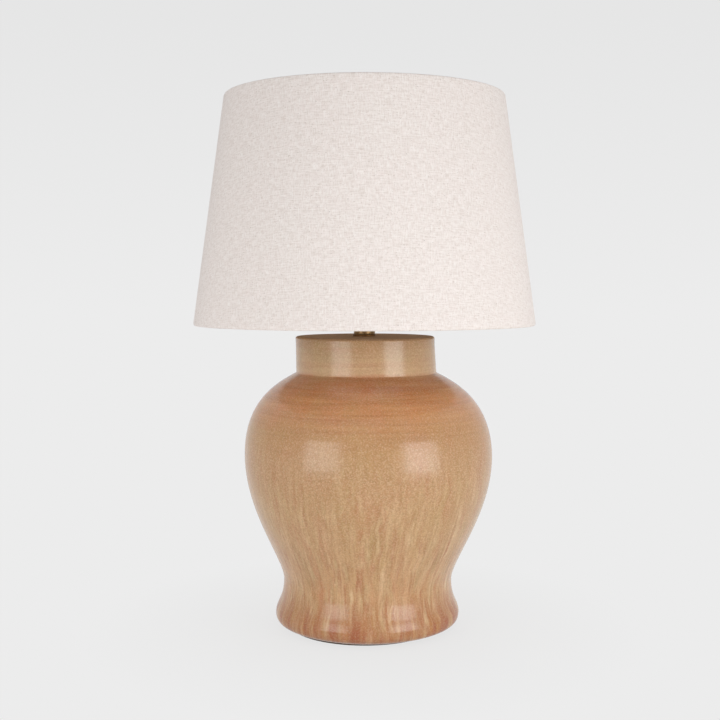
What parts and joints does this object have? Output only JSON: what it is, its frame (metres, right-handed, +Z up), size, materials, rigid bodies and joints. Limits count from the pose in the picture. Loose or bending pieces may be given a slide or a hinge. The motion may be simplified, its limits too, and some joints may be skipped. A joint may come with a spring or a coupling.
{
  "type": "table lamp",
  "caption": "Table lamp with a glazed ginger-jar base, a brass neck and harp, a screw socket with a bulb, and a tapered linen drum shade held by a finial.",
  "frame": {"origin": "centre of the felt's underside, on the table", "axes": "+Z up along the lamp's axis; the front, with the switch knob, faces -Y; the cord outlet faces +Y; the harp stands in the X-Z plane"},
  "size_m": [0.4064, 0.4063, 0.649],
  "materials": {
    "glazed_jar": "satin",
    "felt": "matte",
    "bushing_plastic": "satin",
    "zinc_steel": "satin",
    "washer_rubber": "matte",
    "dark_brass": "satin",
    "aged_brass": "satin",
    "plated_brass": "polished",
    "socket_brass": "satin",
    "sleeve_card": "matte",
    "phenolic": "satin",
    "knob_plastic": "gloss",
    "frosted_glass": "matte",
    "clear_glass": "gloss",
    "black_glass": "gloss",
    "solder": "matte",
    "lamp_aluminium": "satin",
    "filament_metal": "matte",
    "shade_linen": "matte",
    "shade_lining": "matte",
    "shade_wire": "satin"
  },
  "bodies": {
    "lamp_base": {"base_felt": "felt", "jar_body": "glazed_jar", "cord_bushing": "bushing_plastic", "threaded_pipe": "zinc_steel", "base_rubber_washer": "washer_rubber", "base_steel_washer": "zinc_steel", "base_lock_washer": "zinc_steel", "base_nut": "zinc_steel", "neck_seat": "dark_brass", "brass_neck": "aged_brass", "harp_saddle": "plated_brass", "harp": "plated_brass", "harp_bracket": "plated_brass", "harp_stud": "plated_brass", "socket_cap": "socket_brass", "socket_set_screw": "zinc_steel", "socket_shell": "socket_brass", "socket_sleeve": "sleeve_card", "socket_body_lower": "phenolic", "socket_body_upper": "phenolic", "body_rivets": "socket_brass", "terminal_screws": "socket_brass", "screw_shell": "lamp_aluminium", "centre_contact": "socket_brass", "knob_bushing": "phenolic"},
    "ferrule_left": {"ferrule_left": "plated_brass"},
    "ferrule_right": {"ferrule_right": "plated_brass"},
    "switch": {"switch_stem": "socket_brass", "switch_rotor": "phenolic", "switch_knob": "knob_plastic"},
    "bulb": {"bulb_glass": "frosted_glass", "bulb_tip": "solder", "bulb_insulator": "black_glass", "bulb_cap": "lamp_aluminium", "bulb_stem": "clear_glass", "bulb_filament": "filament_metal"},
    "shade": {"shade_linen": "shade_linen", "shade_liner": "shade_lining", "shade_top_ring": "shade_wire", "shade_bottom_ring": "shade_wire", "spider_washer": "shade_wire", "spider_arm_1": "shade_wire", "spider_arm_2": "shade_wire", "spider_arm_3": "shade_wire"},
    "finial": {"finial": "aged_brass"}
  },
  "joints": [
    {"name": "ferrule_left_lift", "type": "slide", "parent": "lamp_base", "child": "ferrule_left", "axis": [0, 0, 1], "range_m": [0, 0.015]},
    {"name": "ferrule_right_lift", "type": "slide", "parent": "lamp_base", "child": "ferrule_right", "axis": [0, 0, 1], "range_m": [0, 0.015]},
    {"name": "switch_turn", "type": "hinge", "parent": "lamp_base", "child": "switch", "pos_m": [0, -0.02, 0.412], "axis": [0, -1, 0], "continuous": true},
    {"name": "bulb_turn", "type": "hinge", "parent": "lamp_base", "child": "bulb", "pos_m": [0, 0, 0.44], "axis": [0, 0, 1], "continuous": true},
    {"name": "shade_turn", "type": "hinge", "parent": "lamp_base", "child": "shade", "pos_m": [0, 0, 0.62], "axis": [0, 0, 1], "continuous": true},
    {"name": "finial_turn", "type": "hinge", "parent": "lamp_base", "child": "finial", "pos_m": [0, 0, 0.63], "axis": [0, 0, 1], "continuous": true}
  ]
}
